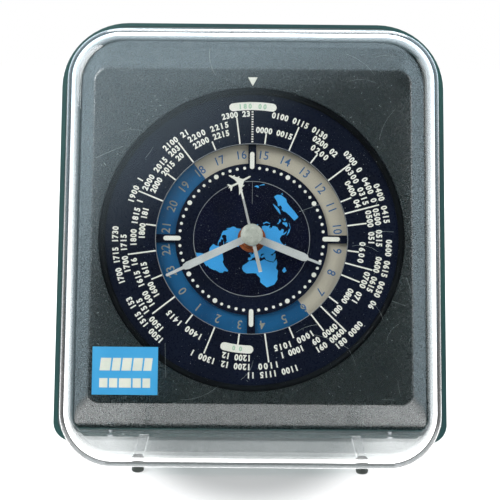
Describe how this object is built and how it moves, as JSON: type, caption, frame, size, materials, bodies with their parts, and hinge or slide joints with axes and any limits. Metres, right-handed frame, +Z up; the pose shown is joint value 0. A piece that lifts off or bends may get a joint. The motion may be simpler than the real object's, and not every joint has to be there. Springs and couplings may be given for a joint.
{
  "type": "world time clock",
  "caption": "Table clock with a deep clear hood, a leaning dial, a turning zone disc, a 24-hour ring, three hands and rear knobs.",
  "frame": {"origin": "on the table, under the middle of the clock's width and depth", "axes": "+Z up, the dial and the clear hood face -Y, +X to the viewer's right"},
  "size_m": [0.1552, 0.1036, 0.165],
  "materials": {
    "case_green": "satin moulded",
    "clear_acrylic": "polished, lightly scratched",
    "panel_green": "fine satin",
    "trim_black": "gloss",
    "dial_navy": "semi-gloss print",
    "cream_print": "matt ink",
    "nut_copper": "dull lacquer",
    "hand_silver": "satin silver paint",
    "cap_grey": "rough silver paint",
    "brass": "machined",
    "steel": "turned",
    "ring_acrylic": "gloss, translucent",
    "carrier_ivory": "moulded",
    "knob_black": "fluted",
    "plate_zinc": "zinc plated",
    "housing_grey": "moulded",
    "coil_copper": "wound enamelled wire",
    "board_brown": "laminate",
    "can_metal": "drawn can",
    "capacitor_blue": "sleeve",
    "lever_red": "moulded",
    "tray_black": "moulded",
    "cell_jacket": "lacquered jacket",
    "contact_nickel": "nickel-plated spring brass",
    "foot_rubber": "soft",
    "label_blue": "film"
  },
  "bodies": {
    "clock": {"rear_case": "case_green", "clear_cover": "clear_acrylic", "dial_panel": "panel_green", "trim_ring": "trim_black", "panel_pointer": "cream_print", "dial_plate": "dial_navy", "map_disc": "dial_navy", "hour_batons": "cream_print", "minute_dots": "cream_print", "centre_nut": "nut_copper", "movement_plate": "plate_zinc", "plate_pillars": "brass", "movement_housing": "housing_grey", "transfer_post": "steel", "drive_coil": "coil_copper", "circuit_board": "board_brown", "transistor": "can_metal", "capacitor": "capacitor_blue", "battery_tray": "tray_black", "battery_cell": "cell_jacket", "positive_contact": "contact_nickel", "negative_contact": "contact_nickel", "plate_screws": "steel", "case_screws": "steel", "movement_screws": "steel", "front_feet": "foot_rubber", "rear_feet": "foot_rubber", "cover_screws": "steel", "cover_label": "label_blue"},
    "zone_disc": {"zone_disc": "dial_navy"},
    "zone_drive": {"zone_pinion": "brass", "zone_knob": "knob_black"},
    "day_ring": {"hour_ring": "ring_acrylic", "ring_carrier": "carrier_ivory"},
    "transfer": {"transfer_wheel": "brass"},
    "hour": {"hour_wheel": "brass", "hour_hand": "hand_silver"},
    "setting": {"minute_wheel": "brass", "set_knob": "knob_black"},
    "minute": {"cannon_pinion": "brass", "minute_hand": "hand_silver"},
    "second": {"second_arbor": "steel", "second_hand": "hand_silver", "hand_cap": "cap_grey"},
    "regulator": {"regulator_lever": "lever_red"},
    "door": {"battery_door": "case_green"}
  },
  "joints": [
    {"name": "zone_disc_turn", "type": "hinge", "parent": "clock", "child": "zone_disc", "pos_m": [0, 0.00734, 0.0806], "axis": [0, 0.9613, -0.2756], "continuous": true},
    {"name": "zone_knob_turn", "type": "hinge", "parent": "clock", "child": "zone_drive", "pos_m": [-0.05099, 0.01781, 0.11714], "axis": [0, 0.9613, -0.2756], "continuous": true},
    {"name": "day_ring_turn", "type": "hinge", "parent": "clock", "child": "day_ring", "pos_m": [0, 0.00734, 0.0806], "axis": [0, 0.9613, -0.2756], "continuous": true},
    {"name": "transfer_turn", "type": "hinge", "parent": "clock", "child": "transfer", "pos_m": [0, 0.01064, 0.09213], "axis": [0, 0.9613, -0.2756], "continuous": true},
    {"name": "hour_turn", "type": "hinge", "parent": "clock", "child": "hour", "pos_m": [0, 0.00734, 0.0806], "axis": [0, 0.9613, -0.2756], "continuous": true},
    {"name": "setting_turn", "type": "hinge", "parent": "clock", "child": "setting", "pos_m": [0.00919, 0.00521, 0.07319], "axis": [0, 0.9613, -0.2756], "continuous": true},
    {"name": "minute_turn", "type": "hinge", "parent": "clock", "child": "minute", "pos_m": [0, 0.00734, 0.0806], "axis": [0, 0.9613, -0.2756], "continuous": true},
    {"name": "second_turn", "type": "hinge", "parent": "clock", "child": "second", "pos_m": [0, 0.00734, 0.0806], "axis": [0, 0.9613, -0.2756], "continuous": true},
    {"name": "regulator_swing", "type": "hinge", "parent": "clock", "child": "regulator", "pos_m": [-0.013, 0.04415, 0.07837], "axis": [0, 0.9613, -0.2756], "range_deg": [-25, 25]},
    {"name": "door_tip", "type": "hinge", "parent": "clock", "child": "door", "pos_m": [0, 0.05054, 0.0135], "axis": [-1, 0, 0], "range_deg": [0, 80]}
  ],
  "couplings": [
    {"joint": "zone_knob_turn", "follows": "zone_disc_turn", "ratio": -9.6},
    {"joint": "transfer_turn", "follows": "day_ring_turn", "ratio": -1},
    {"joint": "hour_turn", "follows": "day_ring_turn", "ratio": 2},
    {"joint": "setting_turn", "follows": "day_ring_turn", "ratio": -8},
    {"joint": "minute_turn", "follows": "day_ring_turn", "ratio": 24}
  ]
}
